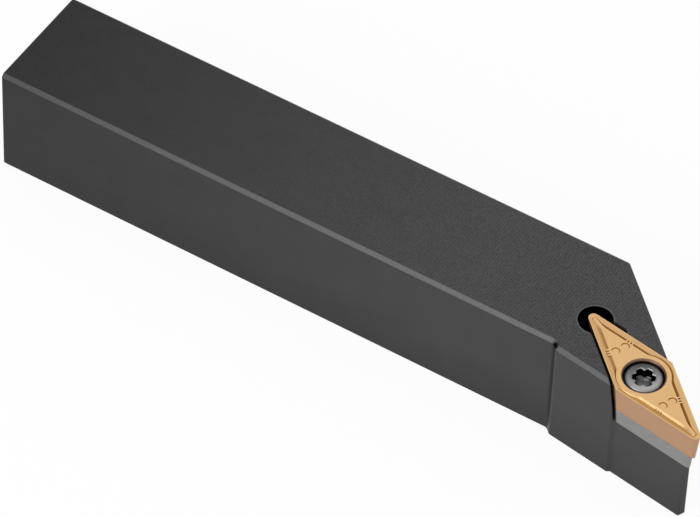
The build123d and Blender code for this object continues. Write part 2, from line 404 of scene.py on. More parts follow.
@dataclass(frozen=True)
class BlackOxideSteel(Finish):
    """Milled alloy steel, blackened in a hot oxide bath.

    The oxide gives the eye a matt charcoal, salted with pale crystals where the face
    mill left the upper and lower faces open. The ground sides are smoother. Painted shade
    darkens the clamped end, the foot, the step and the relief hole, painted light brightens
    the ramp under the pocket, and the chamfers are paler and mottled, partly rubbed and
    partly painted highlight.
    """

    name: str = "black_oxide_milled_steel"
    roughness: float = 0.36
    speckle_roughness: Span = (0.31, 0.44)
    specular: float = 0.22
    relief: float = 0.35
    relief_mm: float = 0.008
    dark: str = "#0b0b0b"
    pale: str = "#5b5a5a"
    rubbed_and_highlight: str = "#626161"
    shade_black: str = "#040404"
    # The oxide's crystals are microns wide, drawn as coarse as they need to show.
    speckle_mm: float = 0.24
    speckle_spread: float = 0.25
    cloud_mm: float = 4.0
    cloud_share: float = 0.04
    # Feed of the face mill, with the centre of its arcs far behind the shank.
    feed_mm: float = 0.5
    feed_share: float = 0.24
    arc_centre: Vector = Vector((-0.19, 0.012, 0.0))
    arc_wobble: float = 2.0
    arc_detail: float = 2.0
    arc_detail_scale: float = 1.5
    pattern_middle: float = 0.62
    # The pattern is full on milled faces near the head, slight at the rear and on sides.
    open_mm: Span = (-10.0, 48.0)
    open_share: Span = (0.08, 0.68)
    least_share: float = 0.03
    # Painted shade darkens the clamped end: share of the pale colour at the rear and at the head.
    rear_shade_mm: Span = (-49.0, 32.0)
    rear_shade_tone: Span = (0.05, 0.45)
    # Painted shade: the sides get darker towards the foot.
    foot_mm: Span = (0.0, 9.0)
    foot_shade_tone: Span = (0.45, 1.0)
    side_share: float = 0.56
    side_tone: float = 0.06
    # Painted light: the low ramp under the pocket is painted brighter than the sides next to it.
    ramp_normal: Vector = Vector((0.443, -0.896, 0.0))
    ramp_match: Span = (0.9, 0.98)
    ramp_light_tone: float = 0.13
    # Share of paler steel on the chamfers, partly rubbed and partly painted highlight, most by the head.
    rub_mm: float = 0.24
    rub_stretch: Vector = Vector((0.5, 1.0, 1.0))
    rub_along_mm: Span = (-49.0, 48.0)
    rub_and_highlight_share: Span = (0.4, 0.62)
    rub_swing: float = 0.5
    rub_lean: Span = (0.25, 0.45)
    # Painted shade, near black, fills the step between shank and head.
    crease: Vector = Vector((49.3, -10.35, 0.0)) * MM
    crease_mm: Span = (0.78, 0.38)
    # Painted shade makes the relief hole black, inside a pale rim of painted highlight.
    hole: Vector = Vector((51.996, -2.947, 0.0)) * MM
    hole_mm: Span = (2.69, 2.67)
    rim_mm: float = 2.8
    rim_half_mm: Span = (0.15, 0.075)
    rim_highlight_share: float = 0.6
    # Every edge is broken by a fine radius in the tumbler before the bath.
    edge_round_mm: float = 0.25
    edge_samples: int = 6

    def paint(self, canvas: Canvas, shader: Node) -> None:
        """Wires speckle, milled arcs, paler chamfers, painted highlight and painted shade into the
        shader.

        Args:
            canvas: the material's nodes.
            shader: its Principled shader.
        """
        at = canvas.add("SeparateXYZ", inputs={"Vector": canvas.place()})
        speckle = canvas.grain(canvas.place(), self.speckle_mm, self.speckle_spread)
        centred = canvas.add("Mapping", inputs={
            "Vector": canvas.place(), "Location": -self.arc_centre})
        arcs = canvas.add("TexWave", RINGS, {
            "Vector": centred, "Scale": line_scale(self.feed_mm),
            "Distortion": self.arc_wobble, "Detail": self.arc_detail,
            "Detail Scale": self.arc_detail_scale})
        fine = canvas.add("Math", {"operation": "MULTIPLY_ADD"}, {
            0: arcs.outputs["Fac"], 1: self.feed_share, 2: speckle})
        opened = canvas.add("MapRange", inputs={
            "Value": at.outputs["X"], **between(self.open_mm, to=self.open_share)})
        # Painted highlight: a pale ring round the relief hole's rim.
        rim = canvas.band(canvas.off_line(self.hole), self.rim_mm, self.rim_half_mm,
                          self.rim_highlight_share)
        # Painted shade in the step and the relief hole.
        painted_shade = self.painted_shade(canvas)
        colour = canvas.coat(
            self.dark, (self.tone(canvas, at, fine, opened), self.pale),
            (self.wear_and_highlight(canvas, at, opened), self.rubbed_and_highlight), (rim, self.rubbed_and_highlight),
            (painted_shade, self.shade_black))
        gloss = canvas.add("MapRange", inputs={
            "Value": speckle, "To Min": self.speckle_roughness[0],
            "To Max": self.speckle_roughness[1]})
        edges = canvas.add("Bevel", {"samples": self.edge_samples}, {
            "Radius": self.edge_round_mm * MM})
        self.emboss(canvas, shader, fine, Normal=edges)
        canvas.feed(shader, "Base Color", colour)
        # A black metal keeps the painted shade black.
        canvas.feed(shader, "Metallic", painted_shade)
        canvas.feed(shader, "Roughness", gloss)
        canvas.feed(shader, "Specular IOR Level", self.specular)

    def tone(self, canvas: Canvas, at: Node, fine: Wire, opened: Wire) -> Node:
        """Works out how pale the oxide is, from painted shade at the rear and the foot, painted light on
        the ramp, slope and pattern.

        Args:
            canvas: the material's nodes.
            at: the node that gives the shaded point's X, Y and Z.
            fine: speckle with milled arcs.
            opened: how open the milled surface is.

        Returns:
            The node that gives the share of the pale colour.
        """
        lean = canvas.add("SeparateXYZ", inputs={"Vector": canvas.normal()})
        level = canvas.add("Math", {"operation": "ABSOLUTE"}, {0: lean.outputs["Z"]})
        strength = canvas.add("Math", {"operation": "MULTIPLY_ADD"}, {
            0: level, 1: opened, 2: self.least_share})
        swing = canvas.add("Math", {"operation": "SUBTRACT"}, {0: fine, 1: self.pattern_middle})
        # Painted shade: darker towards the clamped end.
        rear_shade = canvas.add("MapRange", inputs={
            "Value": at.outputs["X"], **between(self.rear_shade_mm, to=self.rear_shade_tone)})
        # Painted shade: darker towards the foot.
        foot = canvas.add("MapRange", inputs={
            "Value": at.outputs["Z"], **between(self.foot_mm, to=self.foot_shade_tone)})
        base = canvas.add("Math", {"operation": "MULTIPLY"}, {0: rear_shade, 1: foot})
        upright = canvas.add("Math", {"operation": "SUBTRACT"}, {0: 1.0, 1: level})
        base = canvas.add("Math", {"operation": "MULTIPLY_ADD"}, {
            0: upright, 1: self.side_tone, 2: base})
        smooth = canvas.add("MapRange", inputs={"Value": level, "To Min": self.side_share})
        base = canvas.add("Math", {"operation": "MULTIPLY"}, {0: base, 1: smooth})
        base = canvas.add("Math", {"operation": "MULTIPLY_ADD"}, {
            0: canvas.grain(canvas.place(), self.cloud_mm), 1: self.cloud_share, 2: base})
        # Painted light on the ramp under the pocket.
        match = canvas.add("VectorMath", {"operation": "DOT_PRODUCT"}, {
            0: canvas.normal(), 1: self.ramp_normal})
        ramp = canvas.add("MapRange", inputs={
            "Value": match, **between(self.ramp_match, 1.0, (0.0, self.ramp_light_tone))})
        base = canvas.add("Math", {"operation": "ADD"}, {0: base, 1: ramp})
        return canvas.add("Math", {"operation": "MULTIPLY_ADD", "use_clamp": True}, {
            0: swing, 1: strength, 2: base})

    def wear_and_highlight(self, canvas: Canvas, at: Node, opened: Wire) -> Node:
        """Works out how pale a chamfer is, partly rubbed and partly painted highlight, in patches that
        stretch along it.

        Args:
            canvas: the material's nodes.
            at: the node that gives the shaded point's X, Y and Z.
            opened: how open the milled surface is.

        Returns:
            The node that gives the share of the paler steel.
        """
        # A chamfer's normal leans both sideways and up, so their product picks it out.
        lean = canvas.add("SeparateXYZ", inputs={"Vector": canvas.normal()})
        both = canvas.add("Math", {"operation": "MULTIPLY"}, {
            0: lean.outputs["Y"], 1: lean.outputs["Z"]})
        both = canvas.add("Math", {"operation": "ABSOLUTE"}, {0: both})
        chamfer = canvas.add("MapRange", inputs={"Value": both, **between(self.rub_lean, 1.0)})
        along = canvas.add("Mapping", inputs={"Vector": canvas.place(), "Scale": self.rub_stretch})
        mottle = canvas.add("Math", {"operation": "SUBTRACT"}, {
            0: canvas.grain(along, self.rub_mm), 1: GRAIN_MIDDLE})
        mottle = canvas.add("Math", {"operation": "MULTIPLY"}, {0: mottle, 1: opened})
        # Painted highlight with rubbing: the chamfers get paler towards the head.
        worn_and_lit = canvas.add("MapRange", inputs={
            "Value": at.outputs["X"], **between(self.rub_along_mm, to=self.rub_and_highlight_share)})
        worn_and_lit = canvas.add("Math", {"operation": "MULTIPLY_ADD"}, {
            0: mottle, 1: self.rub_swing, 2: worn_and_lit})
        return canvas.add("Math", {"operation": "MULTIPLY"}, {0: worn_and_lit, 1: chamfer})

    def painted_shade(self, canvas: Canvas) -> Node:
        """Works out the share of painted shade in the step and in the relief hole.

        Args:
            canvas: the material's nodes.

        Returns:
            The node that gives the share of dirt.
        """
        step, hole = (
            canvas.add("MapRange", inputs={"Value": canvas.off_line(line), **between(fade_mm)})
            for line, fade_mm in ((self.crease, self.crease_mm), (self.hole, self.hole_mm)))
        return canvas.add("Math", {"operation": "MAXIMUM"}, {0: step, 1: hole})


@dataclass(frozen=True)
class GoldCoating(Finish):
    """Gold nitride coating, vapour-laid on a pressed and sintered carbide insert.

    It gives the eye a satin gold metal, with painted light on faces turned to one side and
    painted shade on faces turned from it, browner on the steep walls of the chip breaker.
    Painted shade also lies in the groove's foot, round the bulge and on one side of each
    dimple's rim, and the ribs' crests carry a painted highlight. The flanks are browner, and
    the coating turns near black down in the hole.
    """

    name: str = "gold_nitride_coating"
    roughness: float = 0.42
    relief: float = 0.3
    relief_mm: float = 0.004
    rake: str = "#d4ad7c"
    rake_low: str = "#cda671"
    lit_turned_to: str = "#d2ab7b"
    rib_highlight: str = "#f0ca96"
    shaded_turned_away: str = "#b98f50"
    wall: str = "#8c5b25"
    flank: str = "#b99274"
    flank_foot: str = "#bb8d66"
    rim: str = "#8d6f60"
    bore: str = "#17110d"
    # Pressed skin, whose real grain of a few microns is drawn this coarse to show.
    grain_mm: float = 0.14
    cloud_mm: float = 1.6
    # Painted light and shade: faces turned to this side are painted lighter, walls turned from it
    # browner.
    painted_light_side: Vector = Vector((0.25, -0.97, 0.0))
    towards: Span = (0.08, 0.5)
    away: Span = (-0.12, -0.24)
    shaded: Span = (0.55, 0.13)
    steep: Span = (0.93, 0.84)
    # The insert's long diagonal and its cutting edge, as turns of the pattern.
    diagonal: Vector = Vector((0.0, 0.0, math.radians(25.8)))
    half_nose: Vector = Vector((0.0, 0.0, math.radians(17.5)))
    # Painted shade lies brown in the groove's foot, full on the far side, weaker at the tail, not on the
    # remaining quarter.
    groove_mm: Span = (19.838, 19.818)
    far_mm: Span = (-0.4, 0.4)
    tail_mm: Span = (0.4, -0.4)
    tail_share: float = 0.55
    # Painted shade lies in the same brown line round the far side of the island's bulge.
    bulge_mm: float = 4.2
    bulge_half_mm: float = 0.17
    bulge_from_mm: Span = (2.8, 3.2)
    bulge_share: float = 0.8
    # Painted shade darkens one side of each dimple's rim, here in the diagonal's axes.
    dimple: Vector = Vector((6.1414, 0.8553, 0.0)) * MM
    dimple_mm: float = 0.6
    dimple_half_mm: Span = (0.12, 0.05)
    shaded_rim_side: Vector = Vector((-0.57, 0.82, 0.0))
    shaded_rim_mm: Span = (-0.3, 0.05)
    # The land by the cutting edge is honed, here across the edge.
    honed_mm: Span = (4.52, 4.62)
    honed_share: float = 0.6
    # Painted highlight on the ribs' crests, here in the cutting edge's axes.
    rib_middle: Vector = Vector((5.6, 3.75, 0.0)) * MM
    rib_reach: Vector = Vector((0.62, 0.26, 1.0)) * MM
    rib_window: Span = (1.05, 0.95)
    rib_spacing_mm: float = 0.5
    rib_crest: Span = (-0.3, 0.3)
    # Flanks go warmer towards their foot.
    upright: Span = (0.4, 0.15)
    foot_mm: Span = (16.14, 15.24)
    foot_cloud: float = 0.5
    rim_mm: Span = (3.44, 3.36)
    bore_mm: Span = (3.18, 3.08)

    def paint(self, canvas: Canvas, shader: Node) -> None:
        """Wires the coating's colours by slope, height and place on the rhombus.

        Args:
            canvas: the material's nodes.
            shader: its Principled shader.
        """
        grain = canvas.grain(canvas.place(), self.grain_mm)
        cloud = canvas.grain(canvas.place(), self.cloud_mm)
        height = canvas.add("SeparateXYZ", inputs={"Vector": canvas.place()}).outputs["Z"]
        slope = canvas.add("SeparateXYZ", inputs={"Vector": canvas.normal()}).outputs["Z"]
        radius = canvas.off_line(AXIS)
        flat = canvas.add("Mapping", inputs={
            "Vector": canvas.place(), "Location": -AXIS, "Scale": PLAN})
        turned = canvas.add("Mapping", inputs={"Vector": flat, "Rotation": self.diagonal})
        # The four quarters are alike, so their patterns share one folded set of axes.
        folded = canvas.add("VectorMath", {"operation": "ABSOLUTE"}, {0: turned})
        edge = canvas.add("Mapping", inputs={"Vector": folded, "Rotation": self.half_nose})
        across = canvas.add("SeparateXYZ", inputs={"Vector": edge}).outputs["Y"]
        honed = canvas.add("MapRange", inputs={
            "Value": across, **between(self.honed_mm, to=(0.0, self.honed_share))})
        upright = canvas.add("MapRange", inputs={"Value": slope, **between(self.upright, 1.0)})
        rim, bore = (canvas.add("MapRange", inputs={"Value": radius, **between(fade_mm)})
                     for fade_mm in (self.rim_mm, self.bore_mm))
        colour = canvas.coat(
            self.rake_colour(canvas, grain, cloud, slope),
            (self.groove_shade(canvas, turned, height, radius), self.wall),
            (self.dimple_shade(canvas, turned, folded), self.wall),
            (honed, self.rake),
            (self.crests(canvas, edge), self.rib_highlight),
            (upright, self.flank_colour(canvas, cloud, height)),
            (rim, self.rim),
            (bore, self.bore))
        self.emboss(canvas, shader, grain)
        canvas.feed(shader, "Base Color", colour)
        canvas.feed(shader, "Metallic", 1.0)

    def rake_colour(self, canvas: Canvas, grain: Wire, cloud: Wire, slope: Wire) -> Node:
        """Mixes the upper side's gold, with painted light and shade by the way that each face is turned.

        Args:
            canvas: the material's nodes.
            grain: the skin's grain.
            cloud: broader mottle.
            slope: upward part of the normal.

        Returns:
            The node that gives the colour.
        """
        # Half grain, half cloud.
        tone = canvas.add("Math", {"operation": "ADD"}, {0: grain, 1: cloud})
        tone = canvas.add("Math", {"operation": "MULTIPLY"}, {0: tone, 1: 0.5})
        # Painted light on faces turned to one side, painted shade on faces turned from it.
        facing = canvas.add("VectorMath", {"operation": "DOT_PRODUCT"}, {
            0: canvas.normal(), 1: self.painted_light_side})
        towards, away, shaded, steep = (
            canvas.add("MapRange", inputs={"Value": value, **between(span, 1.0)})
            for value, span in ((facing, self.towards), (facing, self.away),
                                (facing, self.shaded), (slope, self.steep)))
        # Painted shade: steep walls turned from that side go brown.
        brown = canvas.add("Math", {"operation": "MULTIPLY"}, {0: steep, 1: shaded})
        return canvas.coat(self.rake_low, (tone, self.rake), (towards, self.lit_turned_to),
                           (away, self.shaded_turned_away), (brown, self.wall))

    def groove_shade(self, canvas: Canvas, turned: Wire, height: Wire, radius: Wire) -> Node:
        """Finds the painted shade in the groove's foot and round the bulge.

        Args:
            canvas: the material's nodes.
            turned: coordinates along and across the long diagonal.
            height: height of the shaded point.
            radius: its distance from the insert's axis.

        Returns:
            The node that gives the painted shade's share.
        """
        quarter = canvas.add("SeparateXYZ", inputs={"Vector": turned})
        # Painted shade in the groove's foot.
        low = canvas.add("MapRange", inputs={"Value": height, **between(self.groove_mm)})
        beyond = canvas.add("MapRange", inputs={
            "Value": quarter.outputs["Y"], **between(self.far_mm)})
        behind = canvas.add("MapRange", inputs={
            "Value": quarter.outputs["X"], **between(self.tail_mm, to=(0.0, self.tail_share))})
        kept = canvas.add("Math", {"operation": "MAXIMUM"}, {0: beyond, 1: behind})
        foot = canvas.add("Math", {"operation": "MULTIPLY"}, {0: low, 1: kept})
        # Painted shade: a brown line round the bulge.
        line = canvas.add("Math", {"operation": "COMPARE"}, {
            0: radius, 1: self.bulge_mm * MM, 2: self.bulge_half_mm * MM})
        beside = canvas.add("MapRange", inputs={
            "Value": quarter.outputs["Y"],
            **between(self.bulge_from_mm, to=(0.0, self.bulge_share))})
        bulge = canvas.add("Math", {"operation": "MULTIPLY"}, {0: line, 1: beside})
        return canvas.add("Math", {"operation": "MAXIMUM"}, {0: foot, 1: bulge})

    def dimple_shade(self, canvas: Canvas, turned: Wire, folded: Wire) -> Node:
        """Finds the side of each dimple's rim that gets painted shade.

        Args:
            canvas: the material's nodes.
            turned: coordinates along and across the long diagonal.
            folded: the same, folded onto one quarter.

        Returns:
            The node that gives the painted shade's share.
        """
        signs = canvas.add("VectorMath", {"operation": "SIGN"}, {0: turned})
        off = canvas.add("VectorMath", {"operation": "SUBTRACT"}, {0: folded, 1: self.dimple})
        lip = canvas.add("VectorMath", {"operation": "LENGTH"}, {0: off})
        lip = canvas.band(lip, self.dimple_mm, self.dimple_half_mm)
        spoke = canvas.add("VectorMath", {"operation": "MULTIPLY"}, {0: off, 1: signs})
        # Painted shade on one side of the rim.
        rim_shade = canvas.add("VectorMath", {"operation": "DOT_PRODUCT"}, {
            0: spoke, 1: self.shaded_rim_side})
        rim_shade = canvas.add("MapRange", inputs={"Value": rim_shade, **between(self.shaded_rim_mm)})
        return canvas.add("Math", {"operation": "MULTIPLY"}, {0: lip, 1: rim_shade})

    def crests(self, canvas: Canvas, edge: Wire) -> Node:
        """Finds the crests of the ribs, which get a painted highlight, in a window about each group.

        Args:
            canvas: the material's nodes.
            edge: folded coordinates along and across the cutting edge.

        Returns:
            The node that gives the crests' share.
        """
        reach = canvas.add("VectorMath", {"operation": "SUBTRACT"}, {0: edge, 1: self.rib_middle})
        sides = canvas.add("VectorMath", {"operation": "ABSOLUTE"}, {0: reach})
        sides = canvas.add("VectorMath", {"operation": "DIVIDE"}, {0: sides, 1: self.rib_reach})
        sides = canvas.add("SeparateXYZ", inputs={"Vector": sides})
        window = canvas.add("Math", {"operation": "MAXIMUM"}, {
            0: sides.outputs["X"], 1: sides.outputs["Y"]})
        window = canvas.add("MapRange", inputs={"Value": window, **between(self.rib_window, 1.0)})
        along = canvas.add("SeparateXYZ", inputs={"Vector": reach}).outputs["X"]
        turn = canvas.add("Math", {"operation": "MULTIPLY"}, {
            0: along, 1: math.tau / (self.rib_spacing_mm * MM)})
        # Painted highlight on each crest.
        crest = canvas.add("Math", {"operation": "COSINE"}, {0: turn})
        crest = canvas.add("MapRange", inputs={"Value": crest, **between(self.rib_crest, 1.0)})
        return canvas.add("Math", {"operation": "MULTIPLY"}, {0: window, 1: crest})

    def flank_colour(self, canvas: Canvas, cloud: Wire, height: Wire) -> Node:
        """Mixes the flanks' colour, warmer in clouds and towards the foot.

        Args:
            canvas: the material's nodes.
            cloud: broad mottle.
            height: height of the shaded point.

        Returns:
            The node that gives the colour.
        """
        foot = canvas.add("MapRange", inputs={"Value": height, **between(self.foot_mm)})
        warm = canvas.add("Math", {"operation": "MULTIPLY_ADD"}, {
            0: cloud, 1: self.foot_cloud, 2: foot})
        return canvas.coat(self.flank, (warm, self.flank_foot))


@dataclass(frozen=True)
class GroundCarbide(Finish):
    """Bare cemented carbide, ground flat: a dull mid grey with a dense dark speckle."""

    name: str = "ground_bare_carbide"
    roughness: float = 0.45
    relief: float = 0.3
    relief_mm: float = 0.004
    dark: str = "#7c7b7b"
    pale: str = "#9f9e9d"
    # The carbide's grains are microns wide, drawn coarse enough to show.
    speckle_mm: float = 0.2
    # Grinding leaves level scratches, long in plan and fine in height.
    scratch_mm: float = 0.12
    scratch_stretch: Vector = Vector((0.06, 0.06, 1.0))
    scratch_share: float = 0.35

    def paint(self, canvas: Canvas, shader: Node) -> None:
        """Wires speckle and level grinding scratches into the shader.

        Args:
            canvas: the material's nodes.
            shader: its Principled shader.
        """
        speckle = canvas.grain(canvas.place(), self.speckle_mm)
        level = canvas.add("Mapping", inputs={
            "Vector": canvas.place(), "Scale": self.scratch_stretch})
        scratch = canvas.grain(level, self.scratch_mm)
        tone = canvas.add("Math", {"operation": "MULTIPLY"}, {0: scratch, 1: self.scratch_share})
        tone = canvas.add("Math", {"operation": "MULTIPLY_ADD"}, {
            0: speckle, 1: 1 - self.scratch_share, 2: tone})
        self.emboss(canvas, shader, scratch)
        canvas.feed(shader, "Base Color", canvas.coat(self.dark, (tone, self.pale)))
        canvas.feed(shader, "Metallic", 1.0)


@dataclass(frozen=True)
class PlatedScrewSteel(Finish):
    """Hardened screw steel with a satin zinc plating, turned on its upper face.

    The plating gives the eye a soft grey, with painted shade on one side of the head. The
    recess's mouth is paler, rubbed by the driver and partly painted highlight, and painted
    shade makes the recess's walls black.
    """

    name: str = "satin_plated_screw_steel"
    roughness: float = 0.5
    relief: float = 0.25
    relief_mm: float = 0.004
    dark: str = "#979797"
    pale: str = "#b4b3b2"
    head_shade: str = "#404142"
    rubbed_and_highlight: str = "#9c9d9e"
    recess_floor: str = "#929293"
    recess_shade: str = "#4a4a4b"
    recess_wall_shade: str = "#030303"
    speckle_mm: float = 0.12
    # Turning marks, drawn several times their real spacing so that they show.
    turning_mm: float = 0.16
    turning_share: float = 0.2
    turning_wobble: float = 0.6
    turning_detail: float = 1.0
    # Painted shade: one side of the head is darker.
    shaded_side: Vector = Vector((-0.62, 0.78, 0.0))
    shaded_side_mm: Span = (-2.3, 2.7)
    # The recess lies inside its own radius, from its bevelled mouth to its floor.
    recess_radius_mm: float = 1.95
    bevel_slope: float = 0.7
    bevel_spread: float = 0.15
    mouth_mm: Span = (19.625, 19.575)
    floor_mm: Span = (18.145, 18.095)

    def paint(self, canvas: Canvas, shader: Node) -> None:
        """Wires turning marks, painted shade on one side, the paler mouth and the recess's painted shade
        into the shader.

        Args:
            canvas: the material's nodes.
            shader: its Principled shader.
        """
        centred = canvas.add("Mapping", inputs={"Vector": canvas.place(), "Location": -AXIS})
        slope = canvas.add("SeparateXYZ", inputs={"Vector": canvas.normal()}).outputs["Z"]
        speckle = canvas.grain(canvas.place(), self.speckle_mm)
        turning = canvas.add("TexWave", RINGS, {
            "Vector": centred, "Scale": line_scale(self.turning_mm),
            "Distortion": self.turning_wobble, "Detail": self.turning_detail})
        tone = canvas.add("Math", {"operation": "MULTIPLY_ADD"}, {
            0: turning.outputs["Fac"], 1: self.turning_share, 2: speckle})
        # Painted shade on one side of the head.
        side = canvas.add("VectorMath", {"operation": "DOT_PRODUCT"}, {
            0: centred, 1: self.shaded_side})
        side_shade = canvas.add("MapRange", inputs={"Value": side, **between(self.shaded_side_mm)})
        inside = canvas.add("Math", {"operation": "LESS_THAN"}, {
            0: canvas.off_line(AXIS), 1: self.recess_radius_mm * MM})
        bevelled = canvas.add("Math", {"operation": "COMPARE"}, {
            0: slope, 1: self.bevel_slope, 2: self.bevel_spread})
        # Painted highlight with rubbing on the recess's bevelled mouth.
        rub_and_highlight = canvas.add("Math", {"operation": "MULTIPLY"}, {0: inside, 1: bevelled})
        height = canvas.add("SeparateXYZ", inputs={"Vector": canvas.place()}).outputs["Z"]
        sunk, bottom = (canvas.add("MapRange", inputs={"Value": height, **between(fade_mm)})
                        for fade_mm in (self.mouth_mm, self.floor_mm))
        recess = canvas.add("Math", {"operation": "MULTIPLY"}, {0: inside, 1: sunk})
        floor = canvas.coat(self.recess_shade, (speckle, self.recess_floor))
        # Painted shade: the recess's walls are black above its floor.
        deep = canvas.coat(self.recess_wall_shade, (bottom, floor))
        colour = canvas.coat(self.dark, (tone, self.pale), (side_shade, self.head_shade),
                             (rub_and_highlight, self.rubbed_and_highlight), (recess, deep))
        # Painted shade: the recess's walls are a black non-metal, which hides the metal there.
        walls = canvas.add("Math", {"operation": "SUBTRACT"}, {0: 1.0, 1: bottom})
        wall_shade = canvas.add("Math", {"operation": "MULTIPLY"}, {0: recess, 1: walls})
        metal = canvas.add("Math", {"operation": "SUBTRACT"}, {0: 1.0, 1: wall_shade})
        self.emboss(canvas, shader, tone)
        canvas.feed(shader, "Base Color", colour)
        canvas.feed(shader, "Metallic", metal)
        canvas.feed(shader, "Specular IOR Level", 0.0)


@dataclass(frozen=True)
class PhosphatedSteel(Finish):
    """Phosphated sleeve steel: a dark, dry, finely mottled grey that drinks the light."""

    name: str = "phosphated_sleeve_steel"
    roughness: float = 0.6
    metallic: float = 0.6
    relief: float = 0.4
    relief_mm: float = 0.006
    dark: str = "#28292a"
    pale: str = "#4b4c4d"
    speckle_mm: float = 0.15

    def paint(self, canvas: Canvas, shader: Node) -> None:
        """Wires the crystals' mottle into the shader.

        Args:
            canvas: the material's nodes.
            shader: its Principled shader.
        """
        speckle = canvas.grain(canvas.place(), self.speckle_mm)
        self.emboss(canvas, shader, speckle)
        canvas.feed(shader, "Base Color", canvas.coat(self.dark, (speckle, self.pale)))
        canvas.feed(shader, "Metallic", self.metallic)


# ---- studio ---------------------------------------------------------------


@dataclass(frozen=True)
class Softbox:
    """Square area lamp that faces the tool, in a direction and at a reach from it."""

    name: str
    direction: Vector
    reach: float
    size: float
    watts: float

    def hang(self, spot: Vector) -> None:
        """Hangs the lamp.

        Args:
            spot: where the lamp points.
        """
        lamp = bpy.data.lights.new(self.name, "AREA")
        lamp.size = self.size
        lamp.energy = self.watts
        holder = bpy.data.objects.new(self.name, lamp)
        towards = self.direction.normalized()
        holder.matrix_world = (Matrix.Translation(spot + towards * self.reach)
                               @ (-towards).to_track_quat("-Z", "Y").to_matrix().to_4x4())
        bpy.context.scene.collection.objects.link(holder)


@dataclass(frozen=True)
class Studio:
    """Camera, pale floor and soft lights round the tool. Angles are in degrees."""

    azimuth: float = 30.156
    elevation: float = 48.112
    roll: float = 2.431
    distance: float = 0.86678
    aim: Vector = Vector((0.010883, -0.004855, 0.010))
    lens_mm: float = 295.89
    sensor_mm: float = 36.0
    far_clip: float = 20.0
    lit_spot: Vector = Vector((0.045, -0.008, 0.018))
    softboxes: tuple[Softbox, ...] = (
        Softbox("key_softbox", Vector((-0.26, -0.81, 0.52)), reach=0.55, size=0.22, watts=1.4),
        Softbox("back_softbox", Vector((-0.3, 0.57, 0.77)), reach=0.6, size=0.5, watts=0.4),
    )
    floor_size: float = 3.0
    # The floor lies a hair under the tool, so that their faces don't flicker.
    floor_drop_mm: float = 0.02
    floor_colour: str = "#fafafa"
    floor_roughness: float = 0.9
    floor_glow: float = 0.94
    world_strength: float = 0.75

    def build(self) -> None:
        """Builds the camera, the floor, the world and the lamps."""
        self.camera()
        self.floor()
        self.world()
        for softbox in self.softboxes:
            softbox.hang(self.lit_spot)
        bpy.context.scene.view_settings.view_transform = "Standard"
        LOG.info("set up the studio")

    def camera(self) -> None:
        """Places the camera on its sight line, with the small roll of the view."""
        turn = math.radians(self.azimuth)
        tilt = math.radians(self.elevation)
        forward = Vector((-math.sin(turn) * math.cos(tilt), math.cos(turn) * math.cos(tilt),
                          -math.sin(tilt)))
        lens = bpy.data.cameras.new("camera")
        lens.lens = self.lens_mm
        lens.sensor_width = self.sensor_mm
        lens.clip_end = self.far_clip
        camera = bpy.data.objects.new("camera", lens)
        spin = Matrix.Rotation(math.radians(self.roll), 4, "Z")
        camera.matrix_world = (Matrix.Translation(self.aim - forward * self.distance)
                               @ forward.to_track_quat("-Z", "Y").to_matrix().to_4x4() @ spin)
        bpy.context.scene.collection.objects.link(camera)
        bpy.context.scene.camera = camera

    def seen_directly(self, canvas: Canvas) -> Node:
        """Tells camera, glossy and transmission rays from the others.

        Args:
            canvas: the nodes of the floor or the world.

        Returns:
            The node that gives one for such a ray.
        """
        path = canvas.add("LightPath")
        seen = canvas.add("Math", {"operation": "MAXIMUM"}, {
            0: path.outputs["Is Camera Ray"], 1: path.outputs["Is Glossy Ray"]})
        return canvas.add("Math", {"operation": "MAXIMUM"}, {
            0: seen, 1: path.outputs["Is Transmission Ray"]})

    def floor(self) -> None:
        """Lays a pale floor just under the tool, which keeps the tool's shadow."""
        shape = bmesh.new()
        bmesh.ops.create_grid(shape, x_segments=1, y_segments=1, size=self.floor_size / 2)
        bmesh.ops.translate(shape, verts=shape.verts, vec=(0, 0, -self.floor_drop_mm * MM))
        mesh = bpy.data.meshes.new("studio_floor")
        shape.to_mesh(mesh)
        shape.free()
        floor = bpy.data.objects.new("studio_floor", mesh)
        bpy.context.scene.collection.objects.link(floor)
        material = bpy.data.materials.new("pale_floor")
        canvas = Canvas.of(material)
        matt = canvas.add("BsdfPrincipled", inputs={
            "Base Color": self.floor_colour, "Roughness": self.floor_roughness})
        share = canvas.add("Math", {"operation": "MULTIPLY"}, {
            0: self.seen_directly(canvas), 1: self.floor_glow})
        mixed = canvas.add("MixShader", inputs={0: share, 1: matt, 2: canvas.add("Emission")})
        canvas.add("OutputMaterial", inputs={"Surface": mixed})
        mesh.materials.append(material)

    def world(self) -> None:
        """Makes an even pale surround, white where it is seen directly."""
        world = bpy.data.worlds.new("studio_world")
        canvas = Canvas.of(world)
        level = canvas.add("MapRange", inputs={
            "Value": self.seen_directly(canvas), "To Min": self.world_strength})
        lit = canvas.add("Background", inputs={"Strength": level})
        canvas.add("OutputWorld", inputs={"Surface": lit})
        bpy.context.scene.world = world


# ---- the tool -------------------------------------------------------------


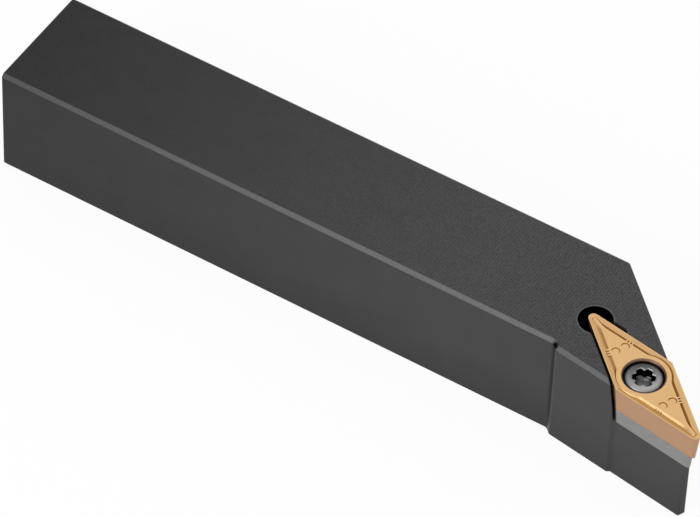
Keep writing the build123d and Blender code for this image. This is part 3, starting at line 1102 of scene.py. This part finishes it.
@dataclass(frozen=True)
class Thread:
    """Ridge of a screw thread, a closed spiral bar half sunk in the wall that carries it."""

    root_mm: float
    crest_mm: float
    pitch_mm: float
    low_mm: float
    high_mm: float
    steps_per_turn: int = 40
    foot_share: float = 0.8
    crest_share: float = 0.14
    sink_mm: float = 0.03

    def add_to(self, shape: Shape) -> None:
        """Spins the ridge's section up the axis.

        Args:
            shape: the mesh that takes the ridge.
        """
        outward = 1.0 if self.crest_mm > self.root_mm else -1.0
        sunk = (self.root_mm - outward * self.sink_mm) * MM
        foot = self.foot_share * self.pitch_mm / 2 * MM
        crest = self.crest_share * self.pitch_mm / 2 * MM
        section = ((sunk, -foot), (self.crest_mm * MM, -crest), (self.crest_mm * MM, crest),
                   (sunk, foot))
        start = self.low_mm * MM + foot
        corners = [shape.verts.new(AXIS + Vector((r, 0, start + z))) for r, z in section]
        made = bmesh.ops.contextual_create(shape, geom=corners)["faces"]
        turns = (self.high_mm - self.low_mm - self.foot_share * self.pitch_mm) / self.pitch_mm
        steps = round(turns * self.steps_per_turn)
        bmesh.ops.spin(shape, geom=made + list(made[0].edges) + corners, cent=AXIS, axis=UP,
                       angle=math.tau * steps / self.steps_per_turn, steps=steps,
                       dvec=(0, 0, self.pitch_mm * MM / self.steps_per_turn))


@dataclass(frozen=True)
class Shank:
    """Round core of a screw, drawn down again below a cut through its CAD mesh."""

    cut_mm: float
    neck_mm: float
    end_mm: float
    core_mm: float
    end_bevel_mm: float = 0.35

    def cut(self, node: str) -> Shape:
        """Copies a CAD node and takes away what lies below the cut.

        Args:
            node: the CAD node's name.

        Returns:
            The open copy.
        """
        shape = merged_copy(node)
        bmesh.ops.bisect_plane(shape, geom=shape.verts[:] + shape.edges[:] + shape.faces[:],
                               plane_co=UP * self.cut_mm * MM, plane_no=UP, clear_inner=True)
        return shape

    def draw(self, shape: Shape, ring: Ring) -> Ring:
        """Narrows a ring to the core and draws it down to the bevelled end.

        Args:
            shape: the open mesh.
            ring: the ring at its cut.

        Returns:
            The ring at the end.
        """
        for height_mm, radius_mm in ((self.cut_mm - self.neck_mm, self.core_mm),
                                     (self.end_mm + self.end_bevel_mm, self.core_mm),
                                     (self.end_mm, self.core_mm - self.end_bevel_mm)):
            ring = draw_down(shape, ring, height_mm, radius_mm)
        return ring


@dataclass(frozen=True)
class HolderBody:
    """Square shank and offset head, one piece of blackened steel, with its tapped hole."""

    hole_thread: Thread = Thread(root_mm=3.05, crest_mm=2.62, pitch_mm=0.75, low_mm=0.3,
                                 high_mm=5.0)

    def build(self) -> None:
        """Dresses the holder and cuts the thread that shows in its lower mouth."""
        steel = BlackOxideSteel().build()
        dress("holder_body", steel)
        shape = bmesh.new()
        self.hole_thread.add_to(shape)
        finished_piece("tapped_hole_thread", shape, steel, Body.TOOL)


@dataclass(frozen=True)
class SeatStack:
    """Carbide shim and the threaded sleeve that holds it down."""

    shank: Shank = Shank(cut_mm=11.5, neck_mm=0.3, end_mm=5.14, core_mm=2.54)
    bore_mm: float = 1.8
    outer_thread: Thread = Thread(root_mm=2.54, crest_mm=2.98, pitch_mm=0.75, low_mm=5.35,
                                  high_mm=11.1)
    inner_thread: Thread = Thread(root_mm=1.8, crest_mm=1.47, pitch_mm=0.6, low_mm=5.3,
                                  high_mm=7.8)

    def build(self) -> None:
        """Dresses the shim and builds the sleeve."""
        dress("shim", GroundCarbide().build())
        self.sleeve(PhosphatedSteel().build())

    def sleeve(self, steel: bpy.types.Material) -> None:
        """Cuts the sleeve below its flange and draws it down again with its threads.

        Args:
            steel: its finish.
        """
        shape = self.shank.cut("shim_screw")
        middle = (self.shank.core_mm + self.bore_mm) / 2 * MM
        outer = open_ring(shape, least=middle)
        inner = open_ring(shape, most=middle)
        outer = self.shank.draw(shape, outer)
        inner = draw_down(shape, inner, self.shank.end_mm, self.bore_mm)
        bmesh.ops.bridge_loops(shape, edges=outer + inner)
        self.outer_thread.add_to(shape)
        self.inner_thread.add_to(shape)
        piece = finished_piece("shim_screw_threaded", shape, steel, Body.TOOL)
        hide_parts("shim_screw")


@dataclass(frozen=True)
class CuttingInsert:
    """Pressed rhombic insert, whose chip breaker is cut in the CAD mesh."""

    def build(self) -> None:
        """Dresses the insert."""
        dress("insert", GoldCoating().build())


@dataclass(frozen=True)
class InsertScrew:
    """Countersunk screw with a six-lobe recess, which clamps the insert."""

    shank: Shank = Shank(cut_mm=14.2, neck_mm=0.25, end_mm=8.09, core_mm=1.38)
    thread: Thread = Thread(root_mm=1.38, crest_mm=1.74, pitch_mm=0.6, low_mm=8.3, high_mm=14.0)

    def build(self) -> None:
        """Keeps the head and neck, and draws the shank down again with its thread."""
        shape = self.shank.cut("insert_screw")
        end = self.shank.draw(shape, open_ring(shape))
        bmesh.ops.contextual_create(shape, geom=end)
        self.thread.add_to(shape)
        piece = finished_piece("insert_screw_threaded", shape, PlatedScrewSteel().build(),
                               Body.CLAMP_SCREW)
        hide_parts("insert_screw")


def main() -> None:
    """Builds the studio and every sub-assembly."""
    logging.basicConfig(level=logging.INFO, format="%(name)s: %(message)s")
    for part in (Studio(), HolderBody(), SeatStack(), CuttingInsert(), InsertScrew()):
        part.build()


if __name__ == "__main__":
    main()
